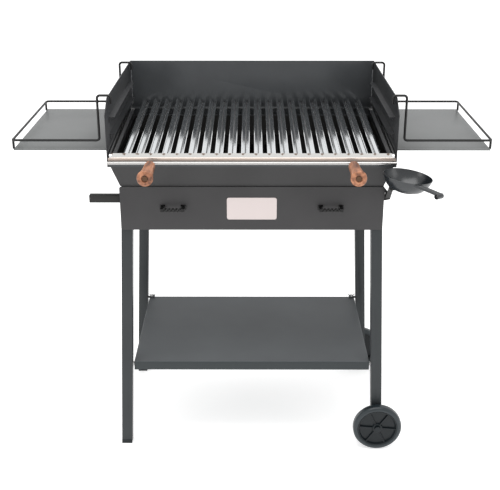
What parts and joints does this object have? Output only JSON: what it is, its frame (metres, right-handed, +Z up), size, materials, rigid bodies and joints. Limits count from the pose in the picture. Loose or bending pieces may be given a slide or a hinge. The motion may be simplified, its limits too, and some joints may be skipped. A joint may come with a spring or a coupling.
{
  "type": "charcoal grill",
  "caption": "Charcoal grill on a wheeled stand with a windshield, sloping V-bar grate with wooden grips, ash drawer, lift-off side tables, drip pan and lower shelf.",
  "frame": {"origin": "on the floor, midway across and midway between the end of the pan's handle and the back wall", "axes": "+X to the user's right, +Y from the drawer's front to the back wall, +Z up"},
  "size_m": [1.2806, 0.7354, 1.0518],
  "materials": {
    "body_paint": "satin heat-resistant paint",
    "drawer_paint": "satin paint",
    "shelf_paint": "fine textured paint",
    "table_paint": "satin paint",
    "rod_paint": "satin paint",
    "grate_steel": "rolled stainless sheet",
    "trough_steel": "bright stainless sheet",
    "bolt_steel": "zinc plated",
    "grip_wood": "varnished turned wood",
    "handle_iron": "black wrought iron",
    "badge_white": "bare white plate",
    "foot_plastic": "moulded",
    "wheel_plastic": "moulded",
    "tyre": "hard rubber tread",
    "pan_enamel": "glossy enamel"
  },
  "bodies": {
    "brazier": {"wall_left": "body_paint", "wall_right": "body_paint", "wall_back": "body_paint", "wall_front": "body_paint", "hopper_left": "body_paint", "hopper_right": "body_paint", "hopper_front": "body_paint", "hopper_back": "body_paint", "ash_floor": "body_paint", "leg_front_left": "body_paint", "leg_front_right": "body_paint", "leg_rear_left": "body_paint", "leg_rear_right": "body_paint", "foot_front_left": "foot_plastic", "foot_rear_left": "foot_plastic", "guide_lower_left": "body_paint", "guide_lower_right": "body_paint", "guide_upper_left": "body_paint", "guide_upper_right": "body_paint", "guide_base_left": "body_paint", "guide_base_right": "body_paint", "lift_bar_front": "body_paint", "lift_bar_rear": "body_paint", "runner_left": "body_paint", "runner_right": "body_paint", "shelf_tray": "shelf_paint", "shelf_spacer_left": "bolt_steel", "shelf_spacer_right": "bolt_steel", "shelf_lug_left": "body_paint", "shelf_lug_right": "body_paint", "wing_nut_left": "bolt_steel", "wing_nut_right": "bolt_steel", "axle_front": "bolt_steel", "axle_rear": "bolt_steel", "pan_bracket": "rod_paint"},
    "drawer": {"drawer_tray": "drawer_paint", "drawer_front": "drawer_paint", "drawer_badge": "badge_white", "drawer_handle_left": "handle_iron", "drawer_handle_right": "handle_iron"},
    "grate": {"grate_bars": "grate_steel", "grate_side_left": "grate_steel", "grate_side_right": "grate_steel", "grate_cross_bar": "grate_steel", "grip_left": "grip_wood", "grip_right": "grip_wood", "grip_rod_left": "bolt_steel", "grip_rod_right": "bolt_steel", "grease_trough": "trough_steel"},
    "table_left": {"table_left_rod": "rod_paint", "table_left_plate": "table_paint"},
    "table_right": {"table_right_rod": "rod_paint", "table_right_plate": "table_paint"},
    "pan": {"pan_bowl": "pan_enamel", "pan_handle": "pan_enamel"},
    "front_wheel": {"wheel_front": "wheel_plastic", "tyre_front": "tyre"},
    "rear_wheel": {"wheel_rear": "wheel_plastic", "tyre_rear": "tyre"}
  },
  "joints": [
    {"name": "drawer_slide", "type": "slide", "parent": "brazier", "child": "drawer", "axis": [0, -1, 0], "range_m": [0, 0.35]},
    {"name": "grate_slide", "type": "slide", "parent": "brazier", "child": "grate", "axis": [0, -0.999, -0.0436], "range_m": [0, 0.3]},
    {"name": "table_left_lift", "type": "slide", "parent": "brazier", "child": "table_left", "axis": [0, 0, 1], "range_m": [0, 0.15]},
    {"name": "table_right_lift", "type": "slide", "parent": "brazier", "child": "table_right", "axis": [0, 0, 1], "range_m": [0, 0.15]},
    {"name": "pan_slide", "type": "slide", "parent": "brazier", "child": "pan", "axis": [0.9907, 0, -0.1357], "range_m": [0, 0.15]},
    {"name": "front_wheel_spin", "type": "hinge", "parent": "brazier", "child": "front_wheel", "pos_m": [0.37001, -0.18125, 0.071], "axis": [0, 1, 0], "continuous": true},
    {"name": "rear_wheel_spin", "type": "hinge", "parent": "brazier", "child": "rear_wheel", "pos_m": [0.37001, 0.31375, 0.071], "axis": [0, 1, 0], "continuous": true}
  ]
}
